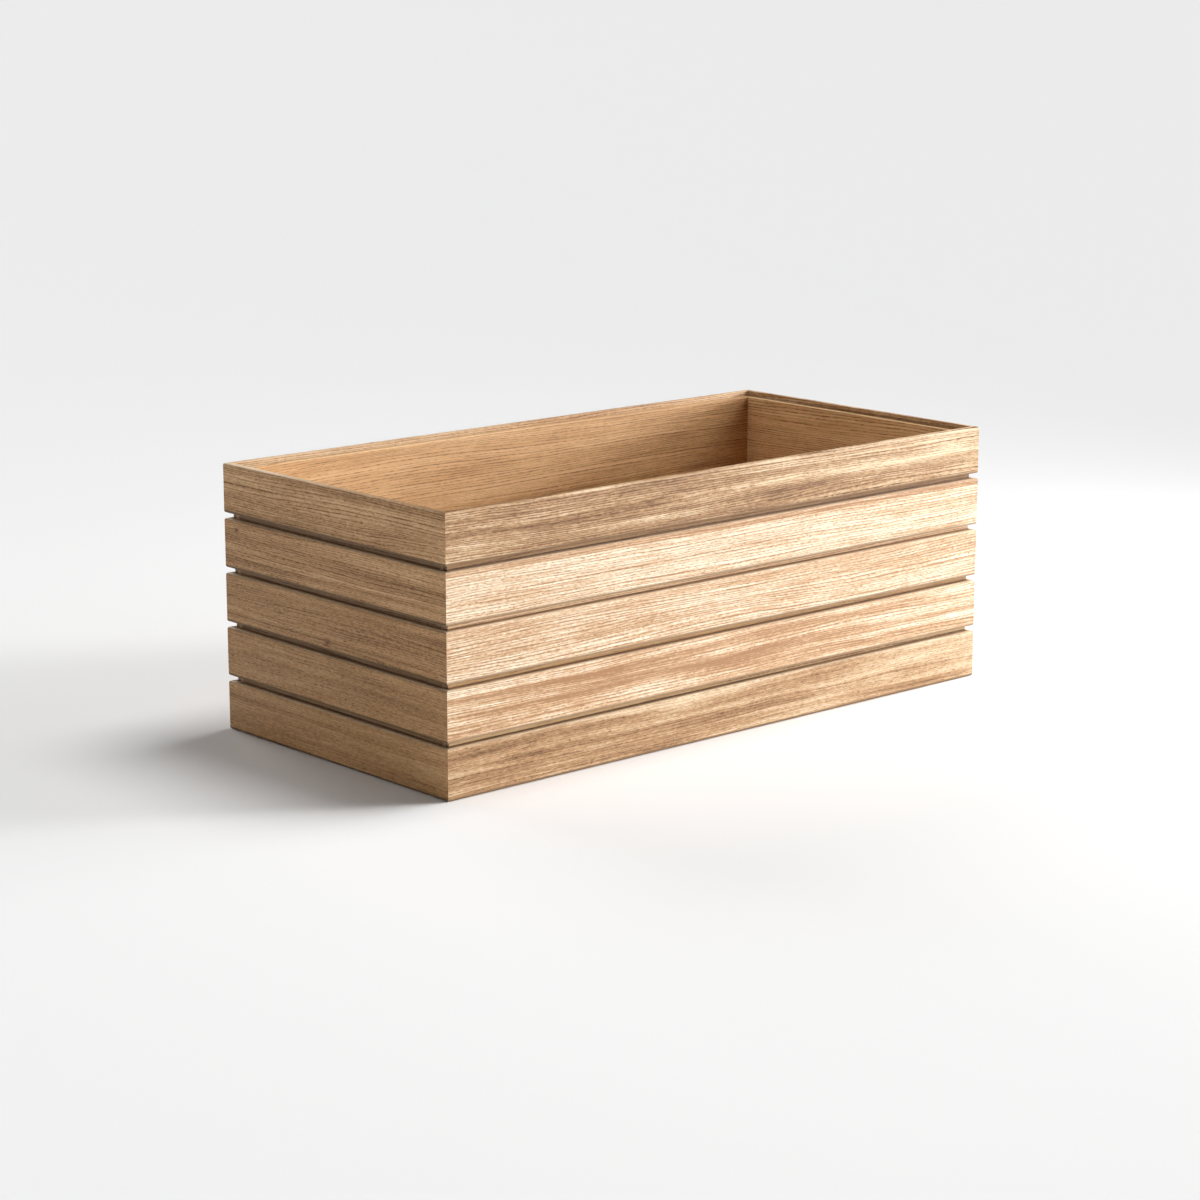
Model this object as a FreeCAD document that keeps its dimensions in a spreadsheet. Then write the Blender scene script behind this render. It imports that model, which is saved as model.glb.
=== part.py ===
import FreeCAD, Part
import Sketcher
import math
import os

# Close-sided apple crate, open at the top, standing on its rim and three floor bearers.
# Frame: origin at the middle of the base, +X along the length, +Y to the back, +Z up. Millimetres.
# Each wall is a one-piece liner board with five slats fixed to its outside. The slats meet in mitres
# at the corners, with their outer long edges rounded over, so that narrow grooves run round the crate.

DIMENSIONS = [
    ("crateLength", 600, "outside length, along X"),
    ("crateWidth", 290, "outside width, along Y"),
    ("slatHeight", 41.4, "height of one slat"),
    ("slatThick", 5.5, "thickness of a slat"),
    ("slatGap", 4.5, "groove between two slats"),
    ("slatRound", 1.8, "radius on the outer long edges of a slat"),
    ("linerThick", 8, "thickness of a liner board"),
    ("linerDrop", 4.5, "liner top below the top of the slats"),
    ("floorThick", 8, "thickness of a floor board"),
    ("floorGap", 2, "gap beside and between floor boards"),
    ("floorEndGap", 0.5, "gap at each end of a floor board"),
    ("floorRound", 1, "radius on the top long edges of a floor board"),
    ("bearerWidth", 40, "width of a floor bearer, along X"),
    ("bearerThick", 10, "thickness of a floor bearer"),
    ("bearerInset", 60, "centre of an end bearer from the outside of the crate"),
    ("pinDiameter", 1.2, "headless pin that holds a slat"),
    ("pinLength", 10, "length of a slat pin"),
    ("pinCover", 1.5, "liner wood left over the inner end of a slat pin"),
    ("pinInset", 40, "first slat pin from the outside corner"),
    ("bradDiameter", 1.4, "headless brad at the corners and the bearer ends"),
    ("bradLength", 30, "length of a corner or bearer brad"),
    ("bearerBradOffset", 10, "bearer brad from the middle of the bearer"),
    ("floorBradDiameter", 1.2, "shank of a floor brad"),
    ("floorBradLength", 16, "length of a floor brad with its head"),
    ("floorBradHead", 2.4, "diameter of a floor brad's head"),
    ("floorBradHeadThick", 0.8, "thickness of a floor brad's head"),
    ("holeClearance", 0.1, "hole wider than its pin or brad, on the diameter"),
]

SAME_PLACE = 1e-6
VOLUME_TOLERANCE = 0.01
SLAT_ROWS = 5
FLOOR_BOARDS = 4
FLOOR_BEARERS = ["left", "middle", "right"]
LONG_PIN_COLUMNS = 4
END_PIN_COLUMNS = 3

# A side is turned about Z from the front. Its local +X runs along the wall and its local +Y points into
# the crate, so that local Y = 0 is the outside of the piece.
SIDES = {
    "front": {"turn": 0, "run": "crateLength", "columns": LONG_PIN_COLUMNS},
    "right": {"turn": 90, "run": "crateWidth", "columns": END_PIN_COLUMNS},
    "back": {"turn": 180, "run": "crateLength", "columns": LONG_PIN_COLUMNS},
    "left": {"turn": 270, "run": "crateWidth", "columns": END_PIN_COLUMNS},
}

doc = FreeCAD.newDocument("AppleCrate")
sheet = doc.addObject("Spreadsheet::Sheet", "Dims")
for row, (alias, size, meaning) in enumerate(DIMENSIONS, start=1):
    sheet.set(f"A{row}", meaning)
    sheet.set(f"B{row}", str(size))
    sheet.setAlias(f"B{row}", alias)
doc.recompute()

# Sizes that follow from the driving ones, as formulas over the sheet.
PITCH = "(Dims.slatHeight + Dims.slatGap)"
CRATE_HEIGHT = f"({SLAT_ROWS - 1} * {PITCH} + Dims.slatHeight)"
LINER_HEIGHT = f"({CRATE_HEIGHT} - Dims.linerDrop)"
LONG_LINER = "(Dims.crateLength - 2 * Dims.slatThick)"
END_LINER = "(Dims.crateWidth - 2 * Dims.slatThick - 2 * Dims.linerThick)"
INSIDE_LENGTH = "(Dims.crateLength - 2 * Dims.slatThick - 2 * Dims.linerThick)"
INSIDE_WIDTH = END_LINER
FLOOR_LENGTH = f"({INSIDE_LENGTH} - 2 * Dims.floorEndGap)"
FLOOR_WIDTH = f"(({INSIDE_WIDTH} - {FLOOR_BOARDS + 1} * Dims.floorGap) / {FLOOR_BOARDS})"
PIN_DEPTH_IN_LINER = "(Dims.linerThick - Dims.pinCover)"
PIN_DEPTH_IN_SLAT = f"(Dims.pinLength - {PIN_DEPTH_IN_LINER})"
BRAD_DEPTH_IN_END = "(Dims.bradLength - Dims.linerThick)"
FLOOR_BRAD_IN_BEARER = "(Dims.floorBradLength - Dims.floorThick)"


def plane(body, role):
    """One of the body's own origin planes."""
    return next(feature for feature in body.Origin.OriginFeatures if feature.Role == role)


def new_body(label):
    body = doc.addObject("PartDesign::Body", label)
    body.Label = label
    body.AllowCompound = True
    return body


def new_sketch(body, name, role, lift="0"):
    """A sketch on an origin plane of the body, moved along the plane's normal by a formula."""
    sketch = body.newObject("Sketcher::SketchObject", f"{body.Name}_{name}")
    sketch.AttachmentSupport = [(plane(body, role), "")]
    sketch.MapMode = "FlatFace"
    sketch.setExpression(".AttachmentOffset.Base.z", lift)
    return sketch


def value(formula):
    """The number that a formula over the sheet gives now."""
    return float(sheet.evalExpression(formula))


def drive(sketch, kind, name, formula, *where):
    """Add a dimension to the sketch and bind it to a formula over the sheet."""
    constraint = sketch.addConstraint(Sketcher.Constraint(kind, *where, value(formula)))
    sketch.renameConstraint(constraint, name)
    sketch.setExpression(f"Constraints.{name}", formula)


def draw_outline(sketch, corners):
    """A closed outline of straight edges, with each corner placed by two formulas."""
    points = [FreeCAD.Vector(value(x), value(y), 0) for x, y in corners]
    count = len(points)
    for i in range(count):
        sketch.addGeometry(Part.LineSegment(points[i], points[(i + 1) % count]))
    for i in range(count):
        sketch.addConstraint(Sketcher.Constraint("Coincident", i, 2, (i + 1) % count, 1))
    for i, (x, y) in enumerate(corners):
        drive(sketch, "DistanceX", f"corner{i}x", x, i, 1)
        drive(sketch, "DistanceY", f"corner{i}y", y, i, 1)


def draw_circles(sketch, centres, diameter):
    """Circles of one diameter, with each centre placed by two formulas."""
    for i, (x, y) in enumerate(centres):
        centre = FreeCAD.Vector(value(x), value(y), 0)
        sketch.addGeometry(Part.Circle(centre, FreeCAD.Vector(0, 0, 1), value(diameter) / 2))
        drive(sketch, "Diameter", f"circle{i}", diameter, i)
        drive(sketch, "DistanceX", f"circle{i}x", x, i, 3)
        drive(sketch, "DistanceY", f"circle{i}y", y, i, 3)


def pad(body, sketch, length, towards_normal=True):
    feature = body.newObject("PartDesign::Pad", f"{sketch.Name}_pad")
    feature.Profile = sketch
    feature.setExpression("Length", length)
    feature.Reversed = not towards_normal
    body.Tip = feature
    doc.recompute()
    return feature


def drill(body, name, role, lift, centres, diameter, depth, towards_normal=False):
    """Round holes of one diameter and depth. The volume taken out shows that they cut the full depth."""
    sketch = new_sketch(body, name, role, lift)
    hole = f"({diameter} + Dims.holeClearance)"
    draw_circles(sketch, centres, hole)
    before = body.Shape.Volume
    feature = body.newObject("PartDesign::Pocket", f"{sketch.Name}_pocket")
    feature.Profile = sketch
    feature.setExpression("Length", depth)
    feature.Reversed = towards_normal
    body.Tip = feature
    doc.recompute()
    expected = len(centres) * math.pi * (value(hole) / 2) ** 2 * value(depth)
    taken = before - feature.Shape.Volume
    if abs(taken - expected) > VOLUME_TOLERANCE * expected:
        raise RuntimeError(f"{body.Label} {name}: the holes take {taken:.2f} mm3, not {expected:.2f}")


def round_long_edges(body, feature, radius, at):
    """Round the edges along local X whose local Y and Z pass the test."""
    names = []
    for i, edge in enumerate(feature.Shape.Edges, start=1):
        start, end = edge.Vertexes[0].Point, edge.Vertexes[-1].Point
        along_x = abs(start.y - end.y) < SAME_PLACE and abs(start.z - end.z) < SAME_PLACE
        if along_x and at(start.y, start.z):
            names.append(f"Edge{i}")
    fillet = body.newObject("PartDesign::Fillet", f"{body.Name}_round")
    fillet.Base = (feature, names)
    fillet.setExpression("Radius", radius)
    body.Tip = fillet
    doc.recompute()


def place(body, x="0", y="0", z="0", turn=0):
    """Turn the body about Z, in degrees, and move it by three formulas."""
    up = FreeCAD.Vector(0, 0, 1)
    body.Placement = FreeCAD.Placement(FreeCAD.Vector(0, 0, 0), FreeCAD.Rotation(up, turn))
    body.setExpression(".Placement.Base.x", x)
    body.setExpression(".Placement.Base.y", y)
    body.setExpression(".Placement.Base.z", z)


def place_on_side(body, side, depth, z="0"):
    """Put a wall piece on its side, with its local Y = 0 at a depth below the crate's outside."""
    turn = SIDES[side]["turn"]
    half_length = f"(Dims.crateLength / 2 - {depth})"
    half_width = f"(Dims.crateWidth / 2 - {depth})"
    spots = {0: ("0", f"-{half_width}"), 90: (half_length, "0"),
             180: ("0", half_width), 270: (f"-{half_length}", "0")}
    x, y = spots[turn]
    place(body, x, y, z, turn)


def slat_middle(row):
    return f"({row} * {PITCH} + Dims.slatHeight / 2)"


def brad_height(row):
    """Corner brads sit at a quarter of each slat's height, clear of the slat pins."""
    return f"({row} * {PITCH} + Dims.slatHeight / 4)"


def pin_columns(side):
    """Where the slat pins stand along a wall, evenly from corner to corner."""
    columns = SIDES[side]["columns"]
    reach = f"(Dims.{SIDES[side]['run']} - 2 * Dims.pinInset)"
    return [f"{reach} * ({i} / {columns - 1} - 0.5)" for i in range(columns)]


def pin_grid(side):
    return [(x, slat_middle(row)) for row in range(SLAT_ROWS) for x in pin_columns(side)]


def corner_brad_columns():
    """Along a long liner: the middle of each end liner's thickness."""
    reach = f"({LONG_LINER} / 2 - Dims.linerThick / 2)"
    return [f"-{reach}", reach]


def bearer_places():
    """The middle of each bearer along the crate."""
    reach = "(Dims.crateLength / 2 - Dims.bearerInset)"
    return [f"-{reach}", "0", reach]


def bearer_brad_grid():
    """Two brads into each bearer end, seen along a long liner."""
    offsets = ["-Dims.bearerBradOffset", "Dims.bearerBradOffset"]
    return [(f"({x} + {offset})", "Dims.bearerThick / 2") for x in bearer_places() for offset in offsets]


def floor_board_place(index):
    """The middle of a floor board across the crate."""
    step = f"({FLOOR_WIDTH} + Dims.floorGap)"
    return f"({step} * ({index} - {(FLOOR_BOARDS - 1) / 2}))"


def floor_brad_offsets():
    """Two brads across each floor board, at a quarter of its width from each edge."""
    return [f"-{FLOOR_WIDTH} / 4", f"{FLOOR_WIDTH} / 4"]


# Slats: planed strips, mitred at both ends, with the two outer long edges rounded over.
# Local Y = 0 is the outer face. The pin holes are blind, in the back face.
def make_slat(side, row):
    body = new_body(f"{side}_slat_{row + 1}")
    run = f"(Dims.{SIDES[side]['run']} / 2)"
    back = f"({run} - Dims.slatThick)"
    plan = new_sketch(body, "plan", "XY_Plane")
    draw_outline(plan, [(f"-{run}", "0"), (run, "0"),
                        (back, "Dims.slatThick"), (f"-{back}", "Dims.slatThick")])
    strip = pad(body, plan, "Dims.slatHeight")
    round_long_edges(body, strip, "Dims.slatRound", lambda y, z: abs(y) < SAME_PLACE)
    # The XZ plane's normal is -Y, so the back face lies at a negative lift.
    drill(body, "pin_holes", "XZ_Plane", "-Dims.slatThick",
          [(x, "Dims.slatHeight / 2") for x in pin_columns(side)],
          "Dims.pinDiameter", PIN_DEPTH_IN_SLAT, towards_normal=True)
    place_on_side(body, side, "0", f"{row} * {PITCH}")
    return body


# Liner boards: the inside walls. The long ones run over the ends of the end ones.
# Local Y = 0 is the face that the slats lie on.
def make_liner(side):
    long_side = SIDES[side]["run"] == "crateLength"
    body = new_body(f"{side}_liner")
    half = f"({LONG_LINER if long_side else END_LINER} / 2)"
    face = new_sketch(body, "face", "XZ_Plane")
    draw_outline(face, [(f"-{half}", "0"), (half, "0"), (half, LINER_HEIGHT), (f"-{half}", LINER_HEIGHT)])
    pad(body, face, "Dims.linerThick", towards_normal=False)
    drill(body, "pin_holes", "XZ_Plane", "0", pin_grid(side), "Dims.pinDiameter", PIN_DEPTH_IN_LINER)
    if long_side:
        corners = [(x, brad_height(row)) for row in range(SLAT_ROWS) for x in corner_brad_columns()]
        drill(body, "corner_holes", "XZ_Plane", "0", corners, "Dims.bradDiameter", "Dims.linerThick")
        drill(body, "bearer_holes", "XZ_Plane", "0", bearer_brad_grid(),
              "Dims.bradDiameter", "Dims.linerThick")
    else:
        # The YZ plane's normal is +X, its sketches run along Y and Z.
        ends = [("Dims.linerThick / 2", brad_height(row)) for row in range(SLAT_ROWS)]
        drill(body, "end_holes_a", "YZ_Plane", half, ends, "Dims.bradDiameter", BRAD_DEPTH_IN_END)
        drill(body, "end_holes_b", "YZ_Plane", f"-{half}", ends, "Dims.bradDiameter", BRAD_DEPTH_IN_END,
              towards_normal=True)
    place_on_side(body, side, "Dims.slatThick")
    return body


# Slat pins: headless steel pins, driven from inside through the liner into the back of each slat and
# covered flush, one group for each side. Local Y = 0 is the outside of the liner.
def make_slat_pins(side):
    body = new_body(f"{side}_slat_pins")
    inner_ends = new_sketch(body, "pins", "XZ_Plane", f"-{PIN_DEPTH_IN_LINER}")
    draw_circles(inner_ends, pin_grid(side), "Dims.pinDiameter")
    pad(body, inner_ends, "Dims.pinLength")
    place_on_side(body, side, "Dims.slatThick")
    return body


# Corner and bearer brads: headless, driven through both long liners before the slats cover them.
def make_liner_brads(label, centres):
    body = new_body(label)
    outside = "(Dims.crateWidth / 2 - Dims.slatThick)"
    front = new_sketch(body, "front", "XZ_Plane", outside)
    draw_circles(front, centres, "Dims.bradDiameter")
    pad(body, front, "Dims.bradLength", towards_normal=False)
    back = new_sketch(body, "back", "XZ_Plane", f"-{outside}")
    draw_circles(back, centres, "Dims.bradDiameter")
    pad(body, back, "Dims.bradLength")
    place(body)
    return body


# Floor bearers: flat cross strips between the long liners. Their undersides lie in the base plane.
def make_bearer(name, x):
    body = new_body(f"floor_bearer_{name}")
    half_width = "(Dims.bearerWidth / 2)"
    half_span = f"({INSIDE_WIDTH} / 2)"
    plan = new_sketch(body, "plan", "XY_Plane")
    draw_outline(plan, [(f"-{half_width}", f"-{half_span}"), (half_width, f"-{half_span}"),
                        (half_width, half_span), (f"-{half_width}", half_span)])
    pad(body, plan, "Dims.bearerThick")
    ends = [("-Dims.bearerBradOffset", "Dims.bearerThick / 2"),
            ("Dims.bearerBradOffset", "Dims.bearerThick / 2")]
    drill(body, "front_holes", "XZ_Plane", half_span, ends, "Dims.bradDiameter", BRAD_DEPTH_IN_END)
    drill(body, "back_holes", "XZ_Plane", f"-{half_span}", ends, "Dims.bradDiameter", BRAD_DEPTH_IN_END,
          towards_normal=True)
    tops = [("0", f"({floor_board_place(i)} + {offset})")
            for i in range(FLOOR_BOARDS) for offset in floor_brad_offsets()]
    drill(body, "top_holes", "XY_Plane", "Dims.bearerThick", tops,
          "Dims.floorBradDiameter", FLOOR_BRAD_IN_BEARER)
    place(body, x=x)
    return body


# Floor boards: laid lengthwise on the bearers, with small gaps for drainage and air.
def make_floor_board(index):
    body = new_body(f"floor_board_{index + 1}")
    half_length = f"({FLOOR_LENGTH} / 2)"
    half_width = f"({FLOOR_WIDTH} / 2)"
    plan = new_sketch(body, "plan", "XY_Plane")
    draw_outline(plan, [(f"-{half_length}", f"-{half_width}"), (half_length, f"-{half_width}"),
                        (half_length, half_width), (f"-{half_length}", half_width)])
    board = pad(body, plan, "Dims.floorThick")
    top = value("Dims.floorThick")
    round_long_edges(body, board, "Dims.floorRound", lambda y, z: abs(z - top) < SAME_PLACE)
    spots = [(x, offset) for x in bearer_places() for offset in floor_brad_offsets()]
    drill(body, "head_seats", "XY_Plane", "Dims.floorThick", spots,
          "Dims.floorBradHead", "Dims.floorBradHeadThick")
    drill(body, "shank_holes", "XY_Plane", "Dims.floorThick - Dims.floorBradHeadThick", spots,
          "Dims.floorBradDiameter", "Dims.floorThick - Dims.floorBradHeadThick")
    place(body, y=floor_board_place(index), z="Dims.bearerThick")
    return body


# Floor brads: small flat heads flush with the boards, shanks into the bearers.
def make_floor_brads():
    body = new_body("floor_brads")
    spots = [(x, f"({floor_board_place(i)} + {offset})") for x in bearer_places()
             for i in range(FLOOR_BOARDS) for offset in floor_brad_offsets()]
    top = "(Dims.bearerThick + Dims.floorThick)"
    heads = new_sketch(body, "heads", "XY_Plane", top)
    draw_circles(heads, spots, "Dims.floorBradHead")
    pad(body, heads, "Dims.floorBradHeadThick", towards_normal=False)
    shanks = new_sketch(body, "shanks", "XY_Plane", top)
    draw_circles(shanks, spots, "Dims.floorBradDiameter")
    pad(body, shanks, "Dims.floorBradLength", towards_normal=False)
    place(body)
    return body


nodes = [make_slat(side, row) for side in SIDES for row in range(SLAT_ROWS)]
nodes += [make_liner(side) for side in SIDES]
nodes += [make_slat_pins(side) for side in SIDES]
nodes += [make_floor_board(index) for index in range(FLOOR_BOARDS)]
nodes += [make_bearer(name, x) for name, x in zip(FLOOR_BEARERS, bearer_places())]
nodes.append(make_liner_brads("corner_brads", [(x, brad_height(row)) for row in range(SLAT_ROWS)
                                               for x in corner_brad_columns()]))
nodes.append(make_liner_brads("bearer_brads", bearer_brad_grid()))
nodes.append(make_floor_brads())

doc.recompute()
for item in doc.Objects:
    if "Invalid" in item.State or "Error" in item.State:
        raise RuntimeError(f"{item.Label} failed: {item.State}")
for node in nodes:
    if node.Shape.isNull() or not node.Shape.isValid():
        raise RuntimeError(f"{node.Label} has no valid shape")

os.makedirs("parts", exist_ok=True)
for node in nodes:
    node.Shape.exportStep(f"parts/{node.Label}.step")
    print(f"{node.Label}: {len(node.Shape.Solids)} solids, {node.Shape.Volume:.1f} mm3")
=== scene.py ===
import math
import random

import bmesh
import bpy
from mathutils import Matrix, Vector, noise


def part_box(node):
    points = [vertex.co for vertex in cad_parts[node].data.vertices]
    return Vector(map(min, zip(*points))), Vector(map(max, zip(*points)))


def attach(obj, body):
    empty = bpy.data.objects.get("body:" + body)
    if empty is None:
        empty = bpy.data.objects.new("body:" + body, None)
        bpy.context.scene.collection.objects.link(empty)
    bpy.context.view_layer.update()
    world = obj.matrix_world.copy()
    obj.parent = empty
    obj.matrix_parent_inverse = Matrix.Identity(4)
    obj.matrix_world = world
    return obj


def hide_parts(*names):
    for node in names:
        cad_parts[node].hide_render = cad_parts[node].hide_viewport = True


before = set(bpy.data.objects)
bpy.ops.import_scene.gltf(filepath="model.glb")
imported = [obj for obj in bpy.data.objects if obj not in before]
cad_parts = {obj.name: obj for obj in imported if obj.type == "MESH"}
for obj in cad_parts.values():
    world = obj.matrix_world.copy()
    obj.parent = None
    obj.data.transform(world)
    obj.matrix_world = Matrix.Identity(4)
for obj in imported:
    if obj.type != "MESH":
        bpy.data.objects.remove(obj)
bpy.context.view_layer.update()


# Floor bearers: three sawn cross strips, 40 mm wide, of the same timber as the crate. Brads driven
# through the long inside walls into their ends hold them, and the floor boards lie on them. They are the
# first wood here, so the timber itself and the way a board is shaped are set out in this section.
class Socket:
    """An output in a material's node tree. Sums on it add Math nodes."""

    def __init__(self, tree, output=None):
        self.tree = tree
        self.output = output

    def node(self, kind, settings, sockets, out=0):
        """Any node: its type, its settings, and the values or links of its sockets."""
        made = self.tree.nodes.new(f"ShaderNode{kind}")
        for name, setting in settings.items():
            if name == "stops":
                elements = made.color_ramp.elements
                elements[0].position, elements[0].color = setting[0][0], (*setting[0][1], 1)
                elements[1].position, elements[1].color = setting[-1][0], (*setting[-1][1], 1)
                for position, colour in setting[1:-1]:
                    elements.new(position).color = (*colour, 1)
            else:
                setattr(made, name, setting)
        for name, given in sockets.items():
            if isinstance(given, Socket):
                self.tree.links.new(given.output, made.inputs[name])
            else:
                made.inputs[name].default_value = given
        return Socket(self.tree, made.outputs[out] if len(made.outputs) else None)

    def math(self, operation, *terms):
        return self.node("Math", {"operation": operation}, dict(enumerate(terms)))

    def __add__(self, other):
        return self.math("ADD", self, other)

    __radd__ = __add__

    def __sub__(self, other):
        return self.math("SUBTRACT", self, other)

    def __rsub__(self, other):
        return self.math("SUBTRACT", other, self)

    def __mul__(self, other):
        return self.math("MULTIPLY", self, other)

    __rmul__ = __mul__

    def __truediv__(self, other):
        return self.math("DIVIDE", self, other)

    def __pow__(self, other):
        return self.math("POWER", self, other)

    def step(self, low, high):
        """0 below low, 1 above high, and smooth between them."""
        return self.node("MapRange", {"interpolation_type": "SMOOTHSTEP"},
                         {"Value": self, "From Min": low, "From Max": high})

    def mix(self, first, second):
        """Colours mixed by this factor: 0 gives the first, 1 the second."""
        return self.node("Mix", {"data_type": "RGBA"}, {0: self, 6: first, 7: second}, out=2)

    def tint(self, colour, by):
        """The colour multiplied by another where this factor is 1."""
        return self.node("Mix", {"data_type": "RGBA", "blend_type": "MULTIPLY"},
                         {0: self, 6: colour, 7: by}, out=2)


RING_SPACING = 2.1  # millimetres from one growth line to the next
KNOT_REACH = 2.6  # how far along the board a knot bends the lines, in its own radii
KNOT_SPREAD = 1.5  # and how far to either side
# The colour of the painted highlight on the slats' upper edges.
PAINTED_EDGE_LIGHT = (0.92, 0.72, 0.50, 1)
SAWN_END = (0.42, 0.42, 0.44, 1)  # how much darker end grain is


def wood(name, run, rise, offset, colours, tone=0.5, lines=1.0, bands=1.0, specks=1.0, roughness=0.45,
         tone_and_light_drift=0, knots=(), edges=None, lower_edge_shade=1.0, upper_edge_light=0.0, edge_light_span=None, darker_below_top=0, inner=None,
         outside=None, grooves=None, crease_shade=None):
    """Oiled hardwood, sawn so that its growth lines run along a board. Lengths are in millimetres.

    run and rise are the axes along the board and across its wide face, and offset is where in the log
    the board was cut. tone is how pale the board is, and tone_and_light_drift how much paler it gets
    towards its far end, from its own tone and, on some boards, from painted light. lines, bands and
    specks are how strong its growth lines, colour bands and pores are. A knot is its place along run and
    rise, and its radius.

    A slat gives edges, the heights of its two rounded edges. The lower is darkened by painted shade, to
    the share lower_edge_shade of its colour. The upper is painted paler by a painted highlight, by the
    share upper_edge_light, and edge_light_span is where along it that begins and where it is full.
    darker_below_top is how much darker a strip just below the upper edge is. inner is the depth at which
    it meets the wall, where a painted shade darkens the crease, and which way is out of the crate.

    A wall gives outside: the depth past which its face shows at the back of the grooves, which way is
    out, and where its sawn ends are. Its grooves are the height of the lowest one's floor, their
    spacing, and the tint of painted light and shade on the wall in each from the lowest up. A painted
    shade darkens the crease along their floors too, and crease_shade is its tint."""
    material = bpy.data.materials.new(name)
    material.use_nodes = True
    material.node_tree.nodes.clear()
    place = Socket(material.node_tree).node("TexCoord", {}, {}, out="Object")
    axes = {axis: place.node("SeparateXYZ", {}, {0: place}, out=axis) * 1000 for axis in "XYZ"}
    depth = next(axis for axis in "XYZ" if axis not in (run, rise))
    along_board, up_board, through_board = axes[run], axes[rise], axes[depth]

    # The growth lines part round each knot, and its heart is darker.
    across = up_board
    heart = 0
    for knot_along, knot_across, radius in knots:
        far = (along_board - knot_along) / (KNOT_REACH * radius)
        beside = (across - knot_across) / (KNOT_SPREAD * radius)
        spread = far * far + beside * beside
        near = spread.math("EXPONENT", spread * -1)
        across = across - (across - knot_across) * near * 0.8
        heart = heart + near ** 3
    along, across, inward = along_board + offset[0], across + offset[1], through_board + offset[2]

    def streak(length, width, detail=1.0, rough=0.5):
        """Noise drawn out along the grain, about 0."""
        spot = place.node("CombineXYZ", {}, {0: along / length, 1: across / width, 2: inward / width})
        grain = {"Vector": spot, "Scale": 1.0, "Detail": detail, "Roughness": rough}
        return place.node("TexNoise", {}, grain) - 0.5

    # The growth lines wander a little, are darkest at their late edge, and break up into pores.
    across = across + streak(330, 40) * 14 + streak(60, 9) * 1.8
    rings = across / RING_SPACING + streak(480, 13) * 5
    late = rings.math("FRACT", rings)
    ring = rings.math("FLOOR", rings)
    ring_tone = place.node("TexWhiteNoise", {"noise_dimensions": "1D"}, {"W": ring})
    broken = streak(30, 1.6, 1).step(-0.16, 0.1)
    dots = streak(5, 1.1, 1).step(-0.08, 0.16)
    line = late ** 4 * (0.35 + ring_tone * 0.9) * (0.25 + broken * 0.35 + dots * 0.7)

    # What is finer or broader than the lines, from single pores to bands of colour down the board.
    fibre = streak(36, 0.85, 2, 0.6)
    pore = streak(3.6, 0.75, 1).step(0.12, 0.24) * (0.6 + late * 0.4)
    # The pale streaks next are a painted sheen in the colour, and they are also a little glossier.
    painted_sheen_streak = streak(60, 1.7, 2, 0.6).step(0.0, 0.26)
    fleck = streak(4.5, 1.3, 1, 0.5)
    figure = streak(11, 5.5, 2, 0.6)
    band = streak(320, 8, 3, 0.6)
    patch = streak(110, 26, 1)
    # The drift along the board is partly painted light: a painted sheen towards the right end of the
    # front slats, and a painted shade towards the right end of the back wall.
    shade = tone + (band * 1.7 + patch * 0.5 + figure * 0.25) * bands + along_board * (tone_and_light_drift / 300)
    shade = shade + (fibre * 0.85 + painted_sheen_streak * 0.17 - line * 1.15 + ring_tone * 0.12 + 0.04) * lines
    shade = shade + (fleck * 0.6 - pore * 0.55) * specks - heart * 0.5
    # A strip just below the upper edge is made darker.
    if darker_below_top:
        shade = shade - up_board.step(edges[1] - 6, edges[1] - 3.8) * darker_below_top
    deep, middle, pale = colours
    surface = place.node("ValToRGB", {"stops": [(0.0, deep), (0.5, middle), (1.0, pale)]}, {0: shade})

    if edges:
        lower_edge, upper_edge = edges
        # The lower rounded edge is darkened towards a share of the middle colour: painted shade under
        # the slat.
        shaded_edge_colour = [lower_edge_shade * part for part in middle]
        lowest = (1 - up_board.step(lower_edge + 1.4, lower_edge + 2.8)) * 0.9
        surface = lowest.mix(surface, (*shaded_edge_colour, 1))
        # The upper rounded edge and the ledge on it are painted paler as a painted highlight, which
        # grows along the board where a span is given.
        painted_edge_light = up_board.step(upper_edge - 0.7, upper_edge - 0.1) * upper_edge_light
        if edge_light_span:
            painted_edge_light = painted_edge_light * along_board.step(*edge_light_span)
        surface = painted_edge_light.mix(surface, PAINTED_EDGE_LIGHT)
    if inner:
        joint, side = inner
        # A painted shade darkens the slat where it meets the wall, in the crease at the back of each
        # ledge.
        painted_crease_shade = 1 - (through_board * side).step(joint * side + 0.9, joint * side + 2.2)
        surface = painted_crease_shade.tint(surface, (*crease_shade, 1))
    if outside:
        groove_back_depth, side, ends = outside
        first_floor, spacing, tints = grooves
        # The wall's face at the back of each groove takes the painted shade and light that fall there,
        # groove by groove.
        groove_back = (through_board * side).step(groove_back_depth * side - 0.2, groove_back_depth * side + 0.2)
        groove = (up_board - first_floor) / spacing
        share = groove.math("FLOOR", groove) / len(tints)
        stops = [(count / len(tints), strip) for count, strip in enumerate(tints)]
        surface = groove_back.tint(surface, place.node("ValToRGB", {"stops": stops}, {0: share}))
        end_grain = along_board.math("ABSOLUTE", along_board).step(ends - 0.5, ends - 0.2)
        surface = end_grain.tint(surface, SAWN_END)
        above_floor = groove.math("FRACT", groove) * spacing
        # A painted shade darkens the crease along each groove's floor.
        painted_crease_shade = (1 - above_floor.step(0.5, 1.2)) * groove_back
        surface = painted_crease_shade.tint(surface, (*crease_shade, 1))

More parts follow.
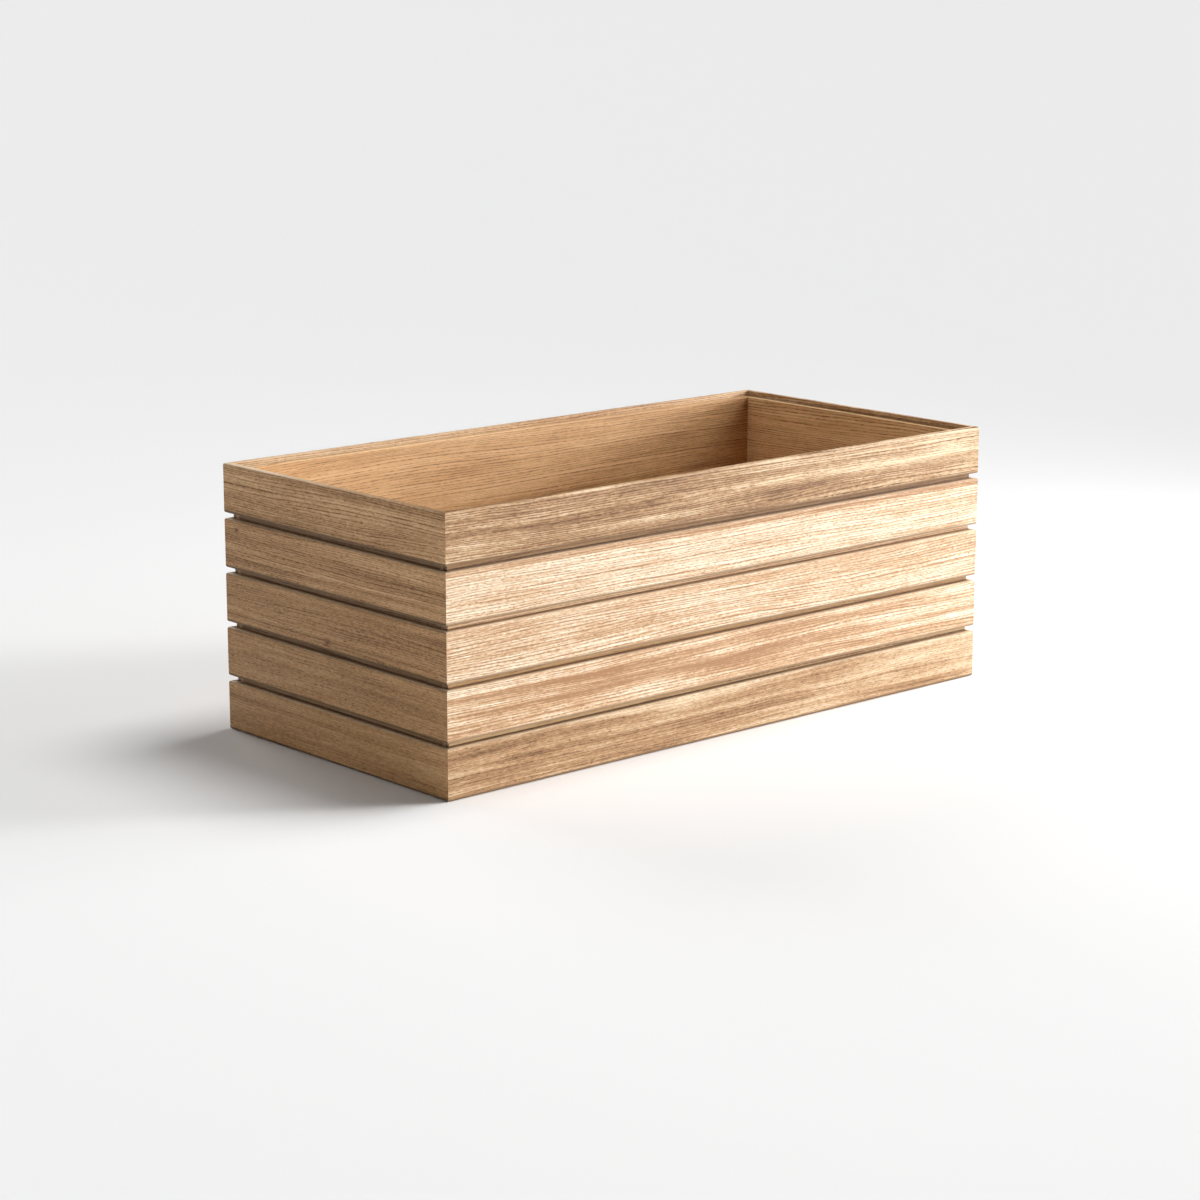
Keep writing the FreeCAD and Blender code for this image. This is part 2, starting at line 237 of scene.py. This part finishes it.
    height = fibre * 0.6 - line * 0.5 - pore * 0.9
    bump = place.node("Bump", {}, {"Height": height, "Strength": 0.4, "Distance": 0.0003})
    dullness = roughness + pore * 0.2 - fibre * 0.2 - painted_sheen_streak * 0.06 + line * 0.1
    oiled_finish = {"Base Color": surface, "Roughness": dullness, "Normal": bump, "IOR": 1.39}
    shader = place.node("BsdfPrincipled", {}, oiled_finish)
    place.node("OutputMaterial", {}, {"Surface": shader})
    return material


TOUCHING = 1e-5  # metres within which a corner lies on a face
MERGING = 1e-7  # metres within which the corners of a cut are made one
CUT_SPACING = 0.006  # along a board, so that the plane's marks can be shaped into it
FACE_CUTS = (-1, -0.6, -0.2, 0.2, 0.6, 1)  # across a face, as shares of its half width
FACE_MARGIN = 0.0008  # from the rounded edges to the outermost cuts
NARROWEST_CUT_FACE = 0.004  # half the width of a face, below which it isn't cut
HOLLOWS_PER_METRE = 45
HOLLOW_STRETCH = 4  # how much longer the hollows are along the board
SAW_GAP = 0.00005  # how far inside the mitre's true line each end is cut
SHARPEST_SMOOTH = math.radians(30)


def shape_board(name, run, low, high, radii, wave, mitre=None):
    """A planed board between two corners, with its four long edges rounded.

    run is the axis along it. radii gives a radius for each long edge, by the ends of the other two axes
    that it lies at. wave is how far the plane left its faces hollow. mitre is the axis and the side that
    faces out of the crate, where both ends are cut at 45 degrees."""
    size = high - low
    middle = (low + high) / 2
    body = bmesh.new()
    bmesh.ops.create_cube(body, size=1)
    bmesh.ops.scale(body, vec=size, verts=body.verts)
    bmesh.ops.translate(body, vec=middle, verts=body.verts)

    def long_edges():
        return [edge for edge in body.edges
                if abs(edge.verts[0].co[run] - edge.verts[1].co[run]) > size[run] / 2]

    def cut_through(point, normal, clear=False):
        """Cut the board by a plane, and take off what lies outside it if that is asked for."""
        return bmesh.ops.bisect_plane(body, geom=body.verts[:] + body.edges[:] + body.faces[:],
                                      dist=MERGING, plane_co=point, plane_no=normal, clear_outer=clear)

    first, second = [axis for axis in range(3) if axis != run]
    for (side_a, side_b), radius in radii.items():
        corner = [edge for edge in long_edges()
                  if all((v.co[first] - middle[first]) * side_a > size[first] / 2 - TOUCHING
                         and (v.co[second] - middle[second]) * side_b > size[second] / 2 - TOUCHING
                         for v in edge.verts)]
        bmesh.ops.bevel(body, geom=corner, offset=radius, offset_type="OFFSET", affect="EDGES",
                        segments=5, profile=0.5, material=-1)
    bmesh.ops.subdivide_edges(body, edges=long_edges(), cuts=int(size[run] / CUT_SPACING),
                              use_grid_fill=True)
    for axis in (first, second):
        reach = size[axis] / 2 - max(radii.values()) - FACE_MARGIN
        if reach > NARROWEST_CUT_FACE:
            direction = Vector([axis == i for i in range(3)])
            for share in FACE_CUTS:
                cut_through(middle + direction * (reach * share), direction)
    body.normal_update()
    seed = Vector((sum(map(ord, name)), 0, 0))
    for vertex in body.verts:
        spot = Vector(vertex.co)
        spot[run] = spot[run] / HOLLOW_STRETCH
        hollow = noise.noise(spot * HOLLOWS_PER_METRE + seed) * 0.5 + 0.5
        vertex.co -= vertex.normal * wave * hollow
    if mitre:
        axis, side = mitre
        outward = Vector([side * (axis == i) for i in range(3)])
        for end in (-1, 1):
            along = Vector([end * (run == i) for i in range(3)])
            tip = middle + along * size[run] / 2 + outward * size[axis] / 2
            slope = (along - outward).normalized()
            cut = cut_through(tip - slope * SAW_GAP, slope, clear=True)
            rim = [item for item in cut["geom_cut"] if isinstance(item, bmesh.types.BMEdge)]
            bmesh.ops.holes_fill(body, edges=rim)
    for face in body.faces:
        face.smooth = True
    for edge in body.edges:
        edge.smooth = edge.calc_face_angle(0) < SHARPEST_SMOOTH
    mesh = bpy.data.meshes.new(name)
    body.to_mesh(mesh)
    body.free()
    piece = bpy.data.objects.new(name, mesh)
    bpy.context.collection.objects.link(piece)
    return piece


def fit_board(node, piece, material):
    """Put the board in the place of its CAD node."""
    piece.data.materials.append(material)
    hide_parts(node)
    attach(piece, "root")


dice = random.Random(7)


def log_place():
    """Where in the log the next board was cut, in millimetres."""
    return [dice.uniform(0, 5000) for _ in range(3)]


SAWN_TONES = [(0.115, 0.060, 0.028), (0.33, 0.200, 0.110), (0.52, 0.36, 0.22)]
for position in ("left", "middle", "right"):
    node = f"floor_bearer_{position}"
    low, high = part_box(node)
    eased = {(a, b): 0.0006 for a in (-1, 1) for b in (-1, 1)}
    bearer = shape_board(f"bearer_{position}", 1, low, high, eased, wave=0.00015)
    timber = wood(f"bearer_{position}", "Y", "X", log_place(), SAWN_TONES, roughness=0.7)
    fit_board(node, bearer, timber)


# Floor boards: four planed boards laid lengthwise with small gaps, their top edges eased by hand. Each
# is nailed down onto every bearer with two small-headed brads.
FLOOR_TONES = [(0.13, 0.068, 0.030), (0.38, 0.225, 0.120), (0.58, 0.40, 0.24)]
for count in range(1, 5):
    node = f"floor_board_{count}"
    low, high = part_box(node)
    eased = {(a, b): 0.0010 if b > 0 else 0.0004 for a in (-1, 1) for b in (-1, 1)}
    plank = shape_board(f"floor_plank_{count}", 0, low, high, eased, wave=0.0001)
    timber = wood(f"floor_plank_{count}", "X", "Y", log_place(), FLOOR_TONES,
                  tone=dice.uniform(0.45, 0.6), roughness=0.6)
    fit_board(node, plank, timber)


# Inside walls: one wide planed board on each side, oiled, with the long ones run over the ends of the
# short ones. They stand a little lower than the slats, so that a neat step runs round the rim.
LINER_TONES = [(0.26, 0.130, 0.050), (0.67, 0.388, 0.176), (0.92, 0.63, 0.34)]
LINERS = {"front": (0, -1), "back": (0, 1), "left": (1, -1), "right": (1, 1)}  # axis along, and way out
# Each wall's tone and drift. The back wall's drift is painted shade, darkening it towards its right end.
WALL_TONES = {"front": (0.50, 0), "back": (0.56, -0.18), "left": (0.50, 0), "right": (0.56, 0)}
# The wall shows at the back of each groove as a strip, painted with the shade that falls there, and on
# the
# front also with light. Its tints, from the lowest groove up:
GROOVE_LIGHT_AND_SHADE = {"front": [(0.83, 0.88, 0.90), (0.86, 0.86, 0.82), (1.12, 1.22, 1.46), (0.56, 0.52, 0.48)],
           "back": [(0.60, 0.60, 0.60), (0.70, 0.70, 0.68), (0.55, 0.55, 0.56), (0.64, 0.62, 0.60)],
           "left": [(0.33, 0.32, 0.33), (0.31, 0.30, 0.32), (0.33, 0.32, 0.34), (0.31, 0.30, 0.32)],
           "right": [(0.66, 0.66, 0.64), (0.58, 0.58, 0.58), (0.70, 0.70, 0.68), (0.60, 0.60, 0.58)]}
# Tints of the painted shade in the creases at the back of the ledges and along the groove floors.
CREASE_SHADE = {"front": (0.32, 0.21, 0.12), "back": (0.36, 0.26, 0.16), "left": (0.58, 0.46, 0.30),
        "right": (0.36, 0.26, 0.16)}
SLAT_PITCH = (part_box("front_slat_2")[0].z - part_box("front_slat_1")[0].z) * 1000
FIRST_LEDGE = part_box("front_slat_1")[1].z * 1000
for side, (run, facing) in LINERS.items():
    node = f"{side}_liner"
    low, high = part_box(node)
    middle_depth = (low + high)[1 - run] / 2 * 1000
    eased = {(a, b): 0.0006 if b > 0 else 0.0003 for a in (-1, 1) for b in (-1, 1)}
    wall = shape_board(f"{side}_wall", run, low, high, eased, wave=0.00012)
    tone, tone_and_light_drift = WALL_TONES[side]
    timber = wood(f"{side}_wall", "XY"[run], "Z", log_place(), LINER_TONES, tone, bands=0.5, specks=0.4,
                  tone_and_light_drift=tone_and_light_drift, outside=(middle_depth, facing, high[run] * 1000),
                  grooves=(FIRST_LEDGE, SLAT_PITCH, GROOVE_LIGHT_AND_SHADE[side]), crease_shade=CREASE_SHADE[side])
    fit_board(node, wall, timber)


# Slats: five planed strips on each side, mitred at the corners, with the two outer long edges rounded
# over. They are glued and pinned to the inside walls from within, so that nothing shows outside.
SLAT_ROUND = 0.0018
SLAT_BACK_ROUND = 0.0003
# The cream timber's pale end is partly a painted sheen of the lit front, and the brown timber, which all
# of the left end's slats take, is darker partly as painted shade; the rest is the wood's own colour.
CREAM_AND_SHEEN = [(0.44, 0.225, 0.100), (0.76, 0.495, 0.290), (1.00, 0.930, 0.740)]
TAN = [(0.18, 0.076, 0.022), (0.53, 0.312, 0.152), (0.90, 0.710, 0.480)]
BROWN_AND_SHADE = [(0.17, 0.074, 0.025), (0.44, 0.243, 0.103), (0.68, 0.435, 0.230)]
# The axis along each side's slats, the axis through them, and which way along that is out.
SLAT_SIDES = {"front": (0, 1, -1), "back": (0, 1, 1), "left": (1, 0, -1), "right": (1, 0, 1)}
# Each row from the bottom up: its timber, tone, the strength of its lines, bands and specks, and drift.
# On the front rows the drift is partly a painted sheen, brightening them towards the right end.
ROWS = {"front": [(TAN, 0.54, 0.5, 1.1, 0.9, 0.15), (CREAM_AND_SHEEN, 0.38, 1.3, 1.4, 1.2, 0.05),
                  (CREAM_AND_SHEEN, 0.47, 1.45, 0.7, 1.3, 0), (CREAM_AND_SHEEN, 0.59, 1.4, 0.6, 1.3, -0.03),
                  (TAN, 0.44, 1.1, 1.0, 1.0, 0.15)],
        "left": [(BROWN_AND_SHADE, 0.53, 0.35, 0.55, 1.0, 0), (BROWN_AND_SHADE, 0.47, 0.4, 0.55, 1.1, 0),
                 (BROWN_AND_SHADE, 0.44, 0.5, 0.7, 1.1, 0), (BROWN_AND_SHADE, 0.44, 0.75, 0.8, 1.2, 0),
                 (BROWN_AND_SHADE, 0.52, 0.95, 0.85, 1.2, 0)],
        "back": [(TAN, 0.50, 0.8, 1.0, 0.8, 0), (BROWN_AND_SHADE, 0.60, 0.8, 1.0, 0.8, 0.08),
                 (TAN, 0.58, 1.0, 1.0, 1.0, 0), (CREAM_AND_SHEEN, 0.40, 1.0, 1.0, 1.0, -0.05),
                 (TAN, 0.60, 0.8, 0.5, 0.7, 0)],
        "right": [(BROWN_AND_SHADE, 0.42, 0.7, 1.0, 0.8, 0), (BROWN_AND_SHADE, 0.50, 0.9, 1.0, 1.0, 0),
                  (TAN, 0.34, 1.0, 1.0, 1.0, 0), (BROWN_AND_SHADE, 0.45, 1.0, 1.0, 0.8, 0),
                  (TAN, 0.42, 0.8, 1.0, 0.8, 0)]}
KNOTS = {"left_slat_4": [(128, 171, 2.4)], "left_slat_3": [(6, 98, 2.6)], "back_slat_2": [(-90, 62, 3)]}
# How much darker a strip just below these slats' upper edges is.
DARKER_BELOW_TOP = {"front_slat_4": 0.5, "back_slat_3": 0.25}
# The lower rounded edges carry painted shade, and all the upper ones a painted highlight but three of
# those on the rim. The rim's fourth, on the left end, gets its painted highlight growing towards the
# back.
LOWER_EDGE_SHADE = {"front": 0.52, "back": 0.50, "left": 0.24, "right": 0.50}
UPPER_EDGE_LIGHT_MOST = 0.85
UPPER_EDGE_LIGHT = {"front_slat_5": 0.0, "back_slat_5": 0.0, "right_slat_5": 0.1}
EDGE_LIGHT_SPAN = {"left_slat_5": (-60, 120)}
for side, (run, axis, outward) in SLAT_SIDES.items():
    for row, (timber, tone, lines, bands, specks, tone_and_light_drift) in enumerate(ROWS[side]):
        node = f"{side}_slat_{row + 1}"
        low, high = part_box(node)
        rounds = {(a, b): SLAT_ROUND if a == outward else SLAT_BACK_ROUND
                  for a in (-1, 1) for b in (-1, 1)}
        strip = shape_board(f"{side}_strip_{row + 1}", run, low, high, rounds, wave=0.00012,
                            mitre=(axis, outward))
        back_face = (high if outward < 0 else low)[axis] * 1000
        on_the_rim = row == len(ROWS[side]) - 1
        oiled = wood(f"{side}_strip_{row + 1}", "XY"[run], "Z", log_place(), timber, tone, lines, bands,
                     specks, tone_and_light_drift=tone_and_light_drift, knots=KNOTS.get(node, ()), edges=(low.z * 1000, high.z * 1000),
                     lower_edge_shade=LOWER_EDGE_SHADE[side], upper_edge_light=UPPER_EDGE_LIGHT.get(node, UPPER_EDGE_LIGHT_MOST), edge_light_span=EDGE_LIGHT_SPAN.get(node),
                     darker_below_top=DARKER_BELOW_TOP.get(node, 0), inner=None if on_the_rim else (back_face, outward),
                     crease_shade=CREASE_SHADE[side])
        fit_board(node, strip, oiled)


# Pins and brads: bright drawn steel wire. The pins and most brads are buried in the wood, and only the
# small heads of the floor brads show.
steel = bpy.data.materials.new("drawn_steel")
steel.use_nodes = True
steel.node_tree.nodes.clear()
wire = Socket(steel.node_tree)
spot = wire.node("TexCoord", {}, {}, out="Object")
scuffs = wire.node("TexNoise", {}, {"Vector": spot, "Scale": 900.0, "Detail": 3.0})
dull = scuffs.mix((0.42, 0.41, 0.40, 1), (0.62, 0.61, 0.60, 1))
rub = wire.node("Bump", {}, {"Height": scuffs, "Strength": 0.2, "Distance": 0.0001})
drawn_finish = {"Base Color": dull, "Metallic": 1.0, "Roughness": 0.3 + scuffs * 0.25, "Normal": rub}
metal = wire.node("BsdfPrincipled", {}, drawn_finish)
wire.node("OutputMaterial", {}, {"Surface": metal})
for name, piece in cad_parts.items():
    if name.endswith("pins") or name.endswith("brads"):
        piece.data.materials.clear()
        piece.data.materials.append(steel)


# Studio: a plain pale floor, low soft light from the front right, a softbox close to the right end,
# light from high on the right, and weak fills from the left and from behind.
floor_mesh = bpy.data.meshes.new("studio_floor")
sheet = bmesh.new()
bmesh.ops.create_grid(sheet, x_segments=1, y_segments=1, size=60)
sheet.to_mesh(floor_mesh)
sheet.free()
floor = bpy.data.objects.new("studio_floor", floor_mesh)
bpy.context.collection.objects.link(floor)
paper = bpy.data.materials.new("pale_paper")
paper.use_nodes = True
paper.node_tree.nodes["Principled BSDF"].inputs["Base Color"].default_value = (0.9, 0.9, 0.9, 1)
paper.node_tree.nodes["Principled BSDF"].inputs["Roughness"].default_value = 0.9
floor_mesh.materials.append(paper)

world = bpy.data.worlds.new("studio")
bpy.context.scene.world = world
world.use_nodes = True
world.node_tree.nodes["Background"].inputs["Color"].default_value = (1, 1, 1, 1)
world.node_tree.nodes["Background"].inputs["Strength"].default_value = 0.06


def soft_sun(name, azimuth, elevation, strength, spread):
    """A distant soft light, from a compass angle (0 from the front, 90 from the right) and a height."""
    lamp = bpy.data.lights.new(name, "SUN")
    lamp.energy = strength
    lamp.angle = math.radians(spread)
    light = bpy.data.objects.new(name, lamp)
    light.rotation_euler = (math.radians(90 - elevation), 0, math.radians(azimuth))
    bpy.context.collection.objects.link(light)


soft_sun("low_key", azimuth=60, elevation=8, strength=2.72, spread=14)
soft_sun("high_light", azimuth=78, elevation=62, strength=2.0, spread=30)
soft_sun("left_fill", azimuth=-90, elevation=10, strength=0.63, spread=20)
soft_sun("back_fill", azimuth=175, elevation=25, strength=1.1, spread=30)

lamp = bpy.data.lights.new("softbox", "AREA")
lamp.shape = "RECTANGLE"
lamp.size = 0.8
lamp.size_y = 0.5
lamp.energy = 6.6
softbox = bpy.data.objects.new("softbox", lamp)
softbox.location = (0.9, -0.45, 0.56)
lit_point = Vector((0, 0, 0.15))
softbox.rotation_euler = (lit_point - softbox.location).to_track_quat("-Z", "Y").to_euler()
bpy.context.collection.objects.link(softbox)


# Camera: a long lens off the near left corner, about three crate heights up and looking slightly down,
# far enough away that the long sides draw together only a little.
LOOK_DOWN = 12.67
TURN_RIGHT = 41.62
lens = bpy.data.cameras.new("camera")
lens.lens = 89.9
lens.sensor_width = 36
lens.clip_end = 200
camera = bpy.data.objects.new("camera", lens)
camera.location = (-1.674, -1.866, 0.653)
camera.rotation_euler = (math.radians(90 - LOOK_DOWN), 0, math.radians(-TURN_RIGHT))
bpy.context.collection.objects.link(camera)
bpy.context.scene.camera = camera
bpy.context.scene.view_settings.view_transform = "Standard"
